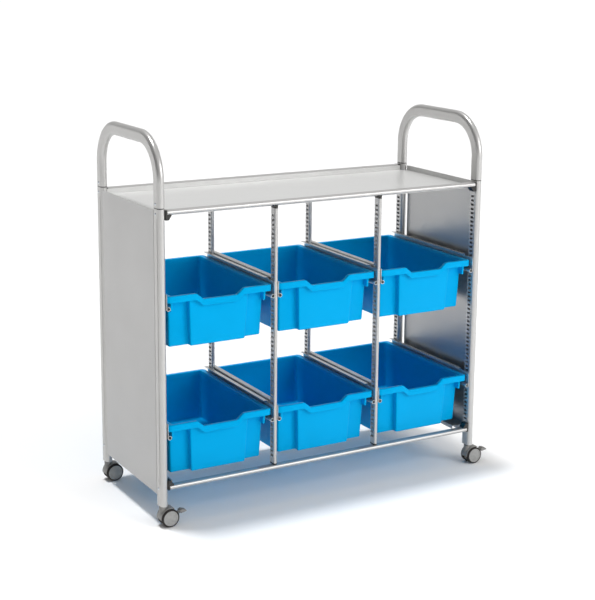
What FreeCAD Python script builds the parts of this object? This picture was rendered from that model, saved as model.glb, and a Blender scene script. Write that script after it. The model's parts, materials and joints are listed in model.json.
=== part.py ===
import FreeCAD, Part
import math
import operator
import os
from types import SimpleNamespace
import Sketcher

# Mobile tray trolley for books: two end frames of flat-oval tube with hoop handles, a recessed
# top shelf, three columns of runners with two rows of deep trays, and four swivel castors.
# Millimetres. The origin is on the floor, midway between the four castor stems.
# X runs along the trolley, the trays face -Y, and Z is up.

SIZES = {
    # frame
    "frame_width": 1024.6,
    "frame_depth": 420.4,
    "column_pitch": 330,
    "row_pitch": 350,
    "sheet_wall": 1.5,
    # end tubes and hoop handles
    "tube_width": 21,
    "tube_depth": 37,
    "tube_wall": 1.8,
    "tube_foot": 60.5,
    "tube_head": 863.6,
    "joint_gap": 2.5,
    "joiner_reach": 28,
    "collar_step": 0.5,
    "handle_top": 1057,
    "handle_bend": 125,
    "groove_foot": 122,
    "groove_head": 840,
    "groove_width": 3,
    "groove_cut": 1,
    # middle tubes
    "middle_width": 10,
    "middle_depth": 27,
    "middle_wall": 1.2,
    "middle_head": 838,
    "cap_height": 4,
    "block_inset": 1,
    "shelf_notch_gap": 1,
    # slots that the runners hook into
    "slot_pitch": 12.5,
    "slot_count": 55,
    "slot_lowest": 142.5,
    "slot_width": 13,
    "slot_height": 6,
    # rails and corner connectors
    "rail_height": 12,
    "rail_depth": 24,
    "rail_wall": 1.2,
    "low_rail": 105,
    "top_rail": 848,
    "connector_plate": 5.3,
    "connector_rise": 14,
    "gusset_reach": 12,
    "gusset_edge": 2,
    "spigot_gap": 0.5,
    # top shelf pan
    "shelf_level": 844,
    "shelf_lip": 13.5,
    "shelf_side": 509.2,
    # side panels
    "panel_face": 510.8,
    "panel_foot": 88,
    "panel_head": 858,
    "panel_front": -176,
    "panel_rear": 168,
    "angle_level": 116,
    "angle_reach": 49,
    "angle_flange": 10,
    "angle_end_gap": 8,
    # runners
    "runner_seat": 160,
    "runner_length": 412,
    "runner_sheet": 1.3,
    "roll_width": 11.6,
    "roll_height": 11,
    "roll_drop": 31,
    "lip_rise": 14,
    "lip_reach": 13.3,
    "lip_front": -166,
    "hook_reach": 3.5,
    "hook_width": 11,
    "hook_height": 4,
    # trays
    "low_rim": 280,
    "tray_width": 312,
    "tray_length": 427,
    "tray_height": 145,
    "tray_front": -199.5,
    "tray_wall": 2.2,
    "rim_band": 17.5,
    "rim_top": 3,
    "rim_skirt": 25.2,
    "rim_radius": 12,
    "body_half": 141.5,
    "floor_half": 136,
    "panel_half": 88,
    "panel_floor_half": 81,
    "face_top": -190,
    "face_floor": -182,
    "strip_top": -172,
    "strip_floor": -165,
    "back_top": 218,
    "back_floor": 209,
    "dip_half": 70,
    "dip_floor_half": 50,
    "dip_depth": 16.5,
    "dip_edge": 3,
    "dip_cut": 24,
    "wing_width": 6,
    "wing_drop": 43,
    # castors
    "wheel_radius": 25,
    "castor_trail": 16.5,
    "castor_half_width": 19,
    "hood_half": 15,
    "hood_skirt": 2,
    "crown_margin": 4,
    "crown_rise": 5,
    "wheel_inner": 7,
    "hub_radius": 20.8,
    "hub_recess": 0.8,
    "hub_round": 2,
    "tread_shoulder": 2,
    "tread_inset": 0.5,
    "axle_gap": 0.5,
    "axle_radius": 3,
    "axle_half": 16,
    "running_gap": 0.05,
    "hood_gap": 1,
    "hood_wall": 2,
    "fork_half": 5.5,
    "fork_radius": 22,
    "boss_radius": 9.5,
    "boss_head": 57.5,
    "boss_floor": 2,
    "boss_gap": 0.5,
    "stem_gap": 0.5,
    "stem_radius": 5,
    "stem_foot": 46,
    "stem_head": 100,
    "lever_half": 4,
    "lever_gap": 0.3,
    "lever_pivot": 17,
    "lever_eye": 4.5,
    "trunnion_radius": 2,
    "pad_near": 30.5,
    "pad_far": 52,
    "pad_low": 30,
    "pad_high": 41,
    "pad_half": 8,
    "pad_heel": 3,
    "pad_thick": 4,
    # screws on the end faces
    "screw_head_radius": 3.4,
    "screw_head_height": 1.8,
    "screw_radius": 2,
    "hole_radius": 2.1,
    "pilot_radius": 1.3,
    "low_screw": 109,
    "low_pilot": 132,
    "high_pilot": 829,
    "high_screw": 850,
    "handle_screw": 876,
}

OPERATIONS = {"+": operator.add, "-": operator.sub, "*": operator.mul, "/": operator.truediv}


class Size:
    """A length that knows its number and the spreadsheet formula that gives it."""

    def __init__(self, value, formula):
        self.value = value
        self.formula = formula

    def combine(self, sign, other, swapped=False):
        left, right = self, as_size(other)
        if swapped:
            left, right = right, left
        value = OPERATIONS[sign](left.value, right.value)
        return Size(value, f"({left.formula} {sign} {right.formula})")

    def __add__(self, other):
        return self.combine("+", other)

    def __radd__(self, other):
        return self.combine("+", other, swapped=True)

    def __sub__(self, other):
        return self.combine("-", other)

    def __rsub__(self, other):
        return self.combine("-", other, swapped=True)

    def __mul__(self, other):
        return self.combine("*", other)

    def __rmul__(self, other):
        return self.combine("*", other, swapped=True)

    def __truediv__(self, other):
        return self.combine("/", other)

    def __neg__(self):
        return self.combine("*", -1)


def as_size(number):
    """A plain number as a Size, so that sizes and numbers mix."""
    if isinstance(number, Size):
        return number
    return Size(float(number), f"({number})")


doc = FreeCAD.newDocument("tray_trolley")
sheet = doc.addObject("Spreadsheet::Sheet", "sizes")
for row, (alias, number) in enumerate(SIZES.items(), start=1):
    sheet.set(f"A{row}", alias)
    sheet.set(f"B{row}", str(number))
    sheet.setAlias(f"B{row}", alias)
doc.recompute()
d = SimpleNamespace(**{alias: Size(float(number), f"sizes.{alias}") for alias, number in SIZES.items()})

OVERRUN = 1  # how far a cutting shape runs past what it cuts
TOUCH = 0.1  # edges within this distance of a plane count as lying on it
LEFT, RIGHT = -1, 1
FRONT, REAR = -1, 1
SIDE_NAMES = {LEFT: "left", RIGHT: "right"}
END_NAMES = {FRONT: "front", REAR: "rear"}
COLUMN_NAMES = {-1: "left", 0: "middle", 1: "right"}
ROW_NAMES = {0: "lower", 1: "upper"}
CORNERS = [(side, end) for side in (LEFT, RIGHT) for end in (FRONT, REAR)]

nodes = []


# ---------------------------------------------------------------- document helpers

def bind(target, path, size):
    """Drive one property of an object from the spreadsheet."""
    target.setExpression(path, as_size(size).formula)


def finish(target, label):
    """Name a finished sub-part and list it for export."""
    target.Label = label
    nodes.append(target)
    return target


def move(target, x=0, y=0, z=0, turn=0.0):
    """Place an object, turned about Z by a number of degrees."""
    up = FreeCAD.Vector(0, 0, 1)
    target.Placement = FreeCAD.Placement(FreeCAD.Vector(), FreeCAD.Rotation(up, turn))
    for axis, size in (("x", x), ("y", y), ("z", z)):
        bind(target, f"Placement.Base.{axis}", size)
    return target


def new_body(name):
    body = doc.addObject("PartDesign::Body", name)
    body.AllowCompound = True
    return body


def new_sketch(body, plane, level=0):
    """A sketch on one of the body's own origin planes, raised along its normal by level."""
    sketch = body.newObject("Sketcher::SketchObject", "Sketch")
    support = next(f for f in body.Origin.OriginFeatures if f.Role == plane)
    sketch.AttachmentSupport = [(support, "")]
    sketch.MapMode = "FlatFace"
    bind(sketch, "AttachmentOffset.Base.z", level)
    return sketch


def pin_point(sketch, geometry, point, x, y=None):
    """Tie a sketch point to its coordinates from the sketch's origin."""
    for kind, size in (("DistanceX", x), ("DistanceY", y)):
        if size is None:
            continue
        size = as_size(size)
        index = sketch.addConstraint(Sketcher.Constraint(kind, -1, 1, geometry, point, size.value))
        sketch.setExpression(f"Constraints[{index}]", size.formula)


def set_radius(sketch, geometry, radius):
    radius = as_size(radius)
    index = sketch.addConstraint(Sketcher.Constraint("Radius", geometry, radius.value))
    sketch.setExpression(f"Constraints[{index}]", radius.formula)


def add_polygon(sketch, corners):
    """A closed outline of straight edges through the corners."""
    first = sketch.GeometryCount
    count = len(corners)
    points = [FreeCAD.Vector(as_size(x).value, as_size(y).value, 0) for x, y in corners]
    for i in range(count):
        sketch.addGeometry(Part.LineSegment(points[i], points[(i + 1) % count]), False)
    for i in range(count):
        following = first + (i + 1) % count
        sketch.addConstraint(Sketcher.Constraint("Coincident", first + i, 2, following, 1))
    for i, (x, y) in enumerate(corners):
        pin_point(sketch, first + i, 1, x, y)


def add_rectangle(sketch, left, low, right, high):
    add_polygon(sketch, [(left, low), (right, low), (right, high), (left, high)])


def add_oval(sketch, x, y, width, height):
    """A flat oval centred at x, y: straight along its longer side, round at both ends."""
    x, y, width, height = (as_size(size) for size in (x, y, width, height))
    upright = height.value > width.value
    radius = (width if upright else height) / 2
    reach = (height - width) / 2 if upright else (width - height) / 2
    first = sketch.GeometryCount
    start = 0.0 if upright else -math.pi / 2
    centres = []
    for sign in (1, -1):
        centre = (x, y + sign * reach) if upright else (x + sign * reach, y)
        centres.append(centre)
        middle = FreeCAD.Vector(centre[0].value, centre[1].value, 0)
        circle = Part.Circle(middle, FreeCAD.Vector(0, 0, 1), radius.value)
        sketch.addGeometry(Part.ArcOfCircle(circle, start, start + math.pi), False)
        start += math.pi
    ends = [sketch.getPoint(first, 2), sketch.getPoint(first + 1, 1),
            sketch.getPoint(first + 1, 2), sketch.getPoint(first, 1)]
    sketch.addGeometry(Part.LineSegment(ends[0], ends[1]), False)
    sketch.addGeometry(Part.LineSegment(ends[2], ends[3]), False)
    for arc, arc_end, line, line_end in ((0, 2, 2, 1), (1, 1, 2, 2), (1, 2, 3, 1), (0, 1, 3, 2)):
        sketch.addConstraint(Sketcher.Constraint("Tangent", first + arc, arc_end, first + line, line_end))
    for arc, centre in enumerate(centres):
        pin_point(sketch, first + arc, 3, *centre)
        set_radius(sketch, first + arc, radius)


def add_circle(sketch, x, y, radius):
    radius = as_size(radius)
    middle = FreeCAD.Vector(as_size(x).value, as_size(y).value, 0)
    index = sketch.addGeometry(Part.Circle(middle, FreeCAD.Vector(0, 0, 1), radius.value), False)
    pin_point(sketch, index, 3, x, y)
    set_radius(sketch, index, radius)


def pad(body, sketch, length, symmetric=False, backwards=False):
    """Raise a sketch along its normal, or against it, or equally both ways."""
    feature = body.newObject("PartDesign::Pad", "Pad")
    feature.Profile = sketch
    bind(feature, "Length", length)
    feature.SideType = "Symmetric" if symmetric else "One side"
    feature.Reversed = backwards
    sketch.Visibility = False
    return feature


def pocket(body, sketch, length, symmetric=False, backwards=False):
    """Cut a sketch against its normal, or along it, or equally both ways."""
    feature = body.newObject("PartDesign::Pocket", "Pocket")
    feature.Profile = sketch
    bind(feature, "Length", length)
    feature.SideType = "Symmetric" if symmetric else "One side"
    feature.Reversed = backwards
    return feature


def loft(body, kind, lower, upper):
    """A straight-sided loft between two sketches; kind is Additive or Subtractive."""
    feature = body.newObject(f"PartDesign::{kind}Loft", "Loft")
    feature.Profile = lower
    feature.Sections = [upper]
    feature.Ruled = True
    return feature


def repeat_up(body, feature, count, pitch):
    """Repeat a feature straight up the body."""
    pattern = body.newObject("PartDesign::LinearPattern", "Pattern")
    pattern.Originals = [feature]
    upwards = next(f for f in body.Origin.OriginFeatures if f.Role == "Z_Axis")
    pattern.Direction = (upwards, [""])
    pattern.Mode = "Spacing"
    bind(pattern, "Offset", pitch)
    pattern.Occurrences = int(count.value)
    body.Tip = pattern
    return pattern


def fillet_upright_edges(body, feature, radius, wanted):
    """Round the vertical edges of a feature whose middle point passes the wanted test."""
    doc.recompute()
    names = []
    for number, edge in enumerate(feature.Shape.Edges, start=1):
        low, high = edge.Vertexes[0].Point, edge.Vertexes[-1].Point
        vertical = abs(high.z - low.z) > 0.97 * edge.Length
        if vertical and wanted((low + high) / 2):
            names.append(f"Edge{number}")
    rounded = body.newObject("PartDesign::Fillet", "Fillet")
    rounded.Base = (feature, names)
    bind(rounded, "Radius", radius)
    return rounded


def revolve_about_y(body, sketch):
    """Turn a sketch on the YZ plane a full turn about its horizontal axis."""
    feature = body.newObject("PartDesign::Revolution", "Revolution")
    feature.Profile = sketch
    feature.ReferenceAxis = (sketch, ["H_Axis"])
    feature.Angle = 360
    return feature


def make_box(x, y, z, length, width, height):
    """A box from its lowest corner and its three sizes."""
    box = doc.addObject("Part::Box", "Box")
    for name, size in (("Length", length), ("Width", width), ("Height", height)):
        bind(box, name, size)
    return move(box, x, y, z)


def make_cylinder(x, y, z, radius, length, along="z"):
    """A cylinder that starts at a point and runs along +Y or +Z."""
    cylinder = doc.addObject("Part::Cylinder", "Cylinder")
    bind(cylinder, "Radius", radius)
    bind(cylinder, "Height", length)
    move(cylinder, x, y, z)
    if along == "y":
        cylinder.Placement.Rotation = FreeCAD.Rotation(FreeCAD.Vector(1, 0, 0), -90)
    return cylinder


def fuse(*shapes):
    joined = doc.addObject("Part::MultiFuse", "Fuse")
    joined.Shapes = list(shapes)
    joined.Refine = True
    return joined


def cut(base, tool):
    left_over = doc.addObject("Part::Cut", "Cut")
    left_over.Base = base
    left_over.Tool = tool
    left_over.Refine = True
    return left_over


def group(label, members):
    """Identical separate solids kept together as one sub-part."""
    compound = doc.addObject("Part::Compound", label)
    compound.Links = members
    return finish(compound, label)


# ---------------------------------------------------------------- shared places

tube_x = d.frame_width / 2 - d.tube_width / 2
tube_y = d.frame_depth / 2 - d.tube_depth / 2
rail_y = d.frame_depth / 2 - d.rail_depth / 2
inner_face = d.frame_width / 2 - d.tube_width
rail_end = inner_face - d.connector_plate


# ---------------------------------------------------------------- tubes and handles

def make_end_upright(side, end):
    """Flat-oval tube with a slotted inner face and one shallow groove on its outer face."""
    body = new_body("EndUpright")
    length = d.tube_head - d.tube_foot
    section = new_sketch(body, "XY_Plane")
    add_oval(section, 0, 0, d.tube_width, d.tube_depth)
    add_oval(section, 0, 0, d.tube_width - 2 * d.tube_wall, d.tube_depth - 2 * d.tube_wall)
    pad(body, section, length)

    outer = side * d.tube_width / 2
    half_flat = (d.tube_depth - d.tube_width) / 2
    groove = new_sketch(body, "YZ_Plane", outer)
    add_rectangle(groove, -half_flat - d.groove_width, d.groove_foot - d.tube_foot,
                  -half_flat, d.groove_head - d.tube_foot)
    pocket(body, groove, d.groove_cut, backwards=side == LEFT)

    holes = new_sketch(body, "YZ_Plane", outer)
    for height, radius in ((d.low_screw, d.hole_radius), (d.low_pilot, d.pilot_radius),
                           (d.high_pilot, d.pilot_radius), (d.high_screw, d.hole_radius)):
        add_circle(holes, 0, height - d.tube_foot, radius)
    pocket(body, holes, 2 * d.tube_wall, backwards=side == LEFT)

    slot = new_sketch(body, "YZ_Plane", -outer)
    middle = d.slot_lowest - d.tube_foot
    add_rectangle(slot, -d.slot_width / 2, middle - d.slot_height / 2,
                  d.slot_width / 2, middle + d.slot_height / 2)
    first = pocket(body, slot, 2 * d.tube_wall, backwards=side == RIGHT)
    repeat_up(body, first, d.slot_count, d.slot_pitch)
    move(body, side * tube_x, end * tube_y, d.tube_foot)
    return finish(body, f"end_upright_{END_NAMES[end]}_{SIDE_NAMES[side]}")


def make_middle_upright(side, end):
    """Slim flat-oval tube, slotted through both of its sides."""
    body = new_body("MiddleUpright")
    foot = d.low_rail + d.rail_height + d.cap_height
    section = new_sketch(body, "XY_Plane")
    add_oval(section, 0, 0, d.middle_width, d.middle_depth)
    add_oval(section, 0, 0, d.middle_width - 2 * d.middle_wall, d.middle_depth - 2 * d.middle_wall)
    pad(body, section, d.middle_head - foot)
    slot = new_sketch(body, "YZ_Plane")
    middle = d.slot_lowest - foot
    add_rectangle(slot, -d.slot_width / 2, middle - d.slot_height / 2,
                  d.slot_width / 2, middle + d.slot_height / 2)
    first = pocket(body, slot, 2 * d.middle_width, symmetric=True)
    repeat_up(body, first, d.slot_count, d.slot_pitch)
    move(body, side * d.column_pitch / 2, end * tube_y, foot)
    return finish(body, f"middle_upright_{END_NAMES[end]}_{SIDE_NAMES[side]}")


def make_handle(side):
    """Hoop of the end tube: two legs, two bends and a straight grip."""
    body = new_body("Handle")
    foot = d.tube_head + d.joint_gap
    bend = d.handle_bend - d.tube_depth / 2
    leg_top = d.handle_top - d.handle_bend - foot
    grip = d.handle_top - d.tube_depth / 2 - foot
    grip_end = tube_y - bend

    path = new_sketch(body, "YZ_Plane")
    radius = bend.value
    reach, top, shoulder = tube_y.value, grip.value, leg_top.value
    flat = grip_end.value

    def point(y, z):
        return FreeCAD.Vector(y, z, 0)

    up = FreeCAD.Vector(0, 0, 1)
    front_bend = Part.Circle(point(-flat, shoulder), up, radius)
    rear_bend = Part.Circle(point(flat, shoulder), up, radius)
    for line in (Part.LineSegment(point(-reach, 0), point(-reach, shoulder)),
                 Part.ArcOfCircle(front_bend, math.pi / 2, math.pi),
                 Part.LineSegment(point(-flat, top), point(flat, top)),
                 Part.ArcOfCircle(rear_bend, 0, math.pi / 2),
                 Part.LineSegment(point(reach, shoulder), point(reach, 0))):
        path.addGeometry(line, False)
    for first, first_end, second, second_end in ((0, 2, 1, 2), (1, 1, 2, 1), (2, 2, 3, 2), (3, 1, 4, 1)):
        path.addConstraint(Sketcher.Constraint("Coincident", first, first_end, second, second_end))
    pin_point(path, 0, 1, -tube_y, 0)
    pin_point(path, 0, 2, -tube_y, leg_top)
    pin_point(path, 1, 3, -grip_end, leg_top)
    pin_point(path, 3, 3, grip_end, leg_top)
    pin_point(path, 2, 1, -grip_end)
    pin_point(path, 2, 2, grip_end)
    pin_point(path, 4, 1, tube_y, leg_top)
    pin_point(path, 4, 2, tube_y, 0)

    section = new_sketch(body, "XY_Plane")
    add_oval(section, 0, -tube_y, d.tube_width, d.tube_depth)
    add_oval(section, 0, -tube_y, d.tube_width - 2 * d.tube_wall, d.tube_depth - 2 * d.tube_wall)
    pipe = body.newObject("PartDesign::AdditivePipe", "Pipe")
    pipe.Profile = section
    pipe.Spine = path

    holes = new_sketch(body, "YZ_Plane", side * d.tube_width / 2)
    for end in (FRONT, REAR):
        add_circle(holes, end * tube_y, d.handle_screw - foot, d.hole_radius)
    pocket(body, holes, 2 * d.tube_wall, backwards=side == LEFT)
    move(body, side * tube_x, 0, foot)
    return finish(body, f"handle_{SIDE_NAMES[side]}")


def make_handle_joiner(side, end):
    """Plug inside both tube ends with the thin collar that shows between them."""
    body = new_body("Joiner")
    inner_width = d.tube_width - 2 * d.tube_wall
    inner_depth = d.tube_depth - 2 * d.tube_wall
    plug = new_sketch(body, "XY_Plane", -d.joiner_reach)
    add_oval(plug, 0, 0, inner_width, inner_depth)
    pad(body, plug, 2 * d.joiner_reach + d.joint_gap)
    collar = new_sketch(body, "XY_Plane")
    add_oval(collar, 0, 0, d.tube_width - 2 * d.collar_step, d.tube_depth - 2 * d.collar_step)
    pad(body, collar, d.joint_gap)
    return move(body, side * tube_x, end * tube_y, d.tube_head)


# ---------------------------------------------------------------- rails, connectors and caps

def make_rail(label, end, low):
    """Flat-oval cross rail lying flat between the corner connectors."""
    body = new_body("Rail")
    section = new_sketch(body, "YZ_Plane")
    add_oval(section, 0, 0, d.rail_depth, d.rail_height)
    add_oval(section, 0, 0, d.rail_depth - 2 * d.rail_wall, d.rail_height - 2 * d.rail_wall)
    pad(body, section, 2 * rail_end, symmetric=True)
    move(body, 0, end * rail_y, low + d.rail_height / 2)
    return finish(body, label)


def make_connector(side, end, low, rise):
    """Corner block: a plate against the tube, a gusset over the rail and a spigot inside it."""
    body = new_body("Connector")
    outline = new_sketch(body, "XZ_Plane")
    seat = low + d.rail_height if rise == 1 else low
    far = seat + rise * d.connector_rise
    back = low if rise == 1 else low + d.rail_height
    add_polygon(outline, [(side * inner_face, back), (side * rail_end, back), (side * rail_end, seat),
                          (side * (rail_end - d.gusset_reach), seat),
                          (side * (rail_end - d.gusset_reach), seat + rise * d.gusset_edge),
                          (side * (rail_end - d.gusset_reach / 3), far), (side * inner_face, far)])
    pad(body, outline, d.rail_depth - 2 * d.gusset_edge, symmetric=True)
    spigot = new_sketch(body, "YZ_Plane", side * rail_end)
    slack = 2 * (d.rail_wall + d.spigot_gap)
    add_oval(spigot, 0, low + d.rail_height / 2, d.rail_depth - slack, d.rail_height - slack)
    pad(body, spigot, d.gusset_reach, backwards=side == RIGHT)
    return move(body, 0, end * rail_y, 0)


def make_cap(side, end, low, height):
    """Plastic end cap of a middle upright."""
    body = new_body("Cap")
    outline = new_sketch(body, "XY_Plane")
    add_oval(outline, 0, 0, d.middle_width, d.middle_depth)
    pad(body, outline, height)
    return move(body, side * d.column_pitch / 2, end * tube_y, low)


def make_cap_block(side, end, low, height):
    """Block that ties a middle upright's top cap to the underside of the top rail."""
    depth = d.rail_depth - d.rail_height
    width = d.middle_width - 2 * d.block_inset
    left = side * d.column_pitch / 2 - width / 2
    return make_box(left, end * rail_y - depth / 2, low, width, depth, height)


# ---------------------------------------------------------------- sheet metal

def make_top_shelf():
    """Pan folded from sheet: a floor notched round the four tubes, with a lip on each side."""
    body = new_body("Shelf")
    deep = d.frame_depth / 2 - d.rail_depth
    notch_x = inner_face - d.shelf_notch_gap
    notch_y = d.frame_depth / 2 - d.tube_depth - d.shelf_notch_gap
    quarter = [(notch_x, deep), (notch_x, notch_y), (d.shelf_side, notch_y)]
    outline = quarter + [(x, -y) for x, y in reversed(quarter)]
    outline += [(-x, -y) for x, y in quarter] + [(-x, y) for x, y in reversed(quarter)]
    floor = new_sketch(body, "XY_Plane")
    add_polygon(floor, outline)
    pad(body, floor, d.sheet_wall, backwards=True)
    lips = new_sketch(body, "XY_Plane", -d.sheet_wall)
    for sign in (-1, 1):
        edges_x = sorted((sign * d.shelf_side, sign * (d.shelf_side - d.sheet_wall)), key=lambda s: s.value)
        edges_y = sorted((sign * deep, sign * (deep - d.sheet_wall)), key=lambda s: s.value)
        add_rectangle(lips, edges_x[0], -notch_y, edges_x[1], notch_y)
        add_rectangle(lips, -notch_x, edges_y[0], notch_x, edges_y[1])
    pad(body, lips, d.shelf_lip + d.sheet_wall)
    move(body, 0, 0, d.shelf_level)
    return finish(body, "top_shelf")


def make_side_panel(side):
    """Flat end panel between the tubes with an angle welded inside near its foot."""
    body = new_body("SidePanel")
    wall = new_sketch(body, "YZ_Plane")
    add_rectangle(wall, d.panel_front, d.panel_foot, d.panel_rear, d.panel_head)
    pad(body, wall, d.sheet_wall, backwards=side == RIGHT)
    angle = new_sketch(body, "XZ_Plane")
    inner = d.sheet_wall
    far = d.angle_reach
    thick = d.sheet_wall
    add_polygon(angle, [(-side * inner, d.angle_level), (-side * far, d.angle_level),
                        (-side * far, d.angle_level - d.angle_flange),
                        (-side * (far - thick), d.angle_level - d.angle_flange),
                        (-side * (far - thick), d.angle_level - thick),
                        (-side * inner, d.angle_level - thick)])
    pad(body, angle, 2 * (-d.panel_front - d.angle_end_gap), symmetric=True)
    move(body, side * d.panel_face, 0, 0)
    return finish(body, f"side_panel_{SIDE_NAMES[side]}")


def make_runner(column, row, side):
    """Tray runner: a hollow roll under the rim, a web beside the uprights and a lip above."""
    body = new_body("Runner")
    turn = -side
    roll = new_sketch(body, "XZ_Plane")
    centre = turn * d.roll_width / 2
    inside = 2 * d.runner_sheet
    add_oval(roll, centre, -d.roll_drop, d.roll_width, d.roll_height)
    add_oval(roll, centre, -d.roll_drop, d.roll_width - inside, d.roll_height - inside)
    pad(body, roll, d.runner_length, symmetric=True)

    web = new_sketch(body, "XZ_Plane")
    web_edges = sorted((as_size(0), turn * d.runner_sheet), key=lambda s: s.value)
    add_rectangle(web, web_edges[0], -d.roll_drop, web_edges[1], d.lip_rise)
    pad(body, web, d.runner_length, symmetric=True)

    lip = new_sketch(body, "XZ_Plane", -d.runner_length / 2)
    lip_edges = sorted((as_size(0), turn * d.lip_reach), key=lambda s: s.value)
    add_rectangle(lip, lip_edges[0], d.lip_rise - d.runner_sheet, lip_edges[1], d.lip_rise)
    pad(body, lip, d.runner_length / 2 - d.lip_front)

    hooks = new_sketch(body, "YZ_Plane")
    for end in (FRONT, REAR):
        for level in (-d.slot_pitch, as_size(0)):
            add_rectangle(hooks, end * tube_y - d.hook_width / 2, level - d.hook_height / 2,
                          end * tube_y + d.hook_width / 2, level + d.hook_height / 2)
    pad(body, hooks, d.hook_reach, backwards=side == LEFT)
    move(body, column * d.column_pitch + side * d.runner_seat, 0, d.low_rim + row * d.row_pitch)
    return finish(body, f"runner_{ROW_NAMES[row]}_{COLUMN_NAMES[column]}_{SIDE_NAMES[side]}")


# ---------------------------------------------------------------- trays

def tray_outline(half, face_half, face, strip, back, inset):
    """Plan of the tray's body: a rectangle whose front has a proud middle panel."""
    side = half - inset
    step = face_half - inset
    return [(-side, strip + inset), (-step, strip + inset), (-step, face + inset), (step, face + inset),
            (step, strip + inset), (side, strip + inset), (side, back - inset), (-side, back - inset)]


def make_tray(column, row):
    """Deep tray: tapered body, rim that rides on the runners, dipped front band, corner wings."""
    body = new_body("Tray")
    wall = d.tray_wall
    at_rim = (d.body_half, d.panel_half, d.face_top, d.strip_top, d.back_top)
    at_floor = (d.floor_half, d.panel_floor_half, d.face_floor, d.strip_floor, d.back_floor)

    def plan(level, sizes, inset):
        sketch = new_sketch(body, "XY_Plane", level)
        add_polygon(sketch, tray_outline(*sizes, inset))
        return sketch

    loft(body, "Additive", plan(-d.tray_height, at_floor, 0), plan(0, at_rim, 0))

    half = d.tray_width / 2
    rear = d.tray_front + d.tray_length
    flange = new_sketch(body, "XY_Plane")
    add_rectangle(flange, -half, d.tray_front, half, rear)
    slab = pad(body, flange, d.rim_band, backwards=True)
    fillet_upright_edges(body, slab, d.rim_radius,
                         lambda p: abs(abs(p.x) - half.value) < TOUCH and p.z > -d.rim_band.value)

    under = new_sketch(body, "XY_Plane", -d.rim_band)
    add_rectangle(under, -half + wall, d.tray_front + wall, half - wall, rear - wall)
    add_polygon(under, tray_outline(*at_rim, 0))
    pocket(body, under, d.rim_band - d.rim_top, backwards=True)

    skirts = new_sketch(body, "XY_Plane", -d.rim_band)
    for side in (LEFT, RIGHT):
        edges = sorted((side * half, side * (half - wall)), key=lambda s: s.value)
        add_rectangle(skirts, edges[0], d.tray_front + d.rim_radius, edges[1], rear - d.rim_radius)
    pad(body, skirts, d.rim_skirt - d.rim_band, backwards=True)

    band = new_sketch(body, "XZ_Plane", -d.tray_front)
    edge = d.dip_edge
    add_polygon(band, [(-d.dip_half - edge, 0), (-d.dip_half - edge, -d.rim_band),
                       (-d.dip_floor_half - edge, -d.rim_band - d.dip_depth),
                       (d.dip_floor_half + edge, -d.rim_band - d.dip_depth),
                       (d.dip_half + edge, -d.rim_band), (d.dip_half + edge, 0)])
    pad(body, band, d.face_top - d.tray_front + wall, backwards=True)

    wings = new_sketch(body, "XY_Plane", -d.rim_band)
    for side in (LEFT, RIGHT):
        edges = sorted((side * d.body_half, side * (d.body_half - d.wing_width)), key=lambda s: s.value)
        add_rectangle(wings, edges[0], d.face_top, edges[1], d.strip_floor)
    pad(body, wings, d.wing_drop - d.rim_band, backwards=True)

    loft(body, "Subtractive", plan(wall - d.tray_height, at_floor, wall), plan(0, at_rim, wall))

    dip = new_sketch(body, "XZ_Plane", -d.tray_front + OVERRUN)
    add_polygon(dip, [(-d.dip_half, OVERRUN), (-d.dip_floor_half, -d.dip_depth),
                      (d.dip_floor_half, -d.dip_depth), (d.dip_half, OVERRUN)])
    pocket(body, dip, d.dip_cut, backwards=False)
    move(body, column * d.column_pitch, 0, d.low_rim + row * d.row_pitch)
    return finish(body, f"tray_{ROW_NAMES[row]}_{COLUMN_NAMES[column]}")


# ---------------------------------------------------------------- castors

def castor_name(side, end):
    return f"{END_NAMES[end]}_{SIDE_NAMES[side]}"


def wheel_centre(side, end):
    return side * tube_x + d.castor_trail, end * tube_y


def make_socket(side, end):
    """Plastic plug in the foot of an end tube, bored for the castor stem."""
    body = new_body("Socket")
    plug = new_sketch(body, "XY_Plane")
    add_oval(plug, 0, 0, d.tube_width - 2 * d.tube_wall, d.tube_depth - 2 * d.tube_wall)
    add_circle(plug, 0, 0, d.stem_radius)
    pad(body, plug, d.stem_head - d.tube_foot)
    flange = new_sketch(body, "XY_Plane")
    add_circle(flange, 0, 0, d.boss_radius)
    add_circle(flange, 0, 0, d.stem_radius)
    pad(body, flange, d.tube_foot - d.boss_head - d.boss_gap, backwards=True)
    return move(body, side * tube_x, end * tube_y, d.tube_foot)


def make_stem(side, end):
    return make_cylinder(side * tube_x, end * tube_y, d.stem_foot, d.stem_radius, d.stem_head - d.stem_foot)


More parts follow.
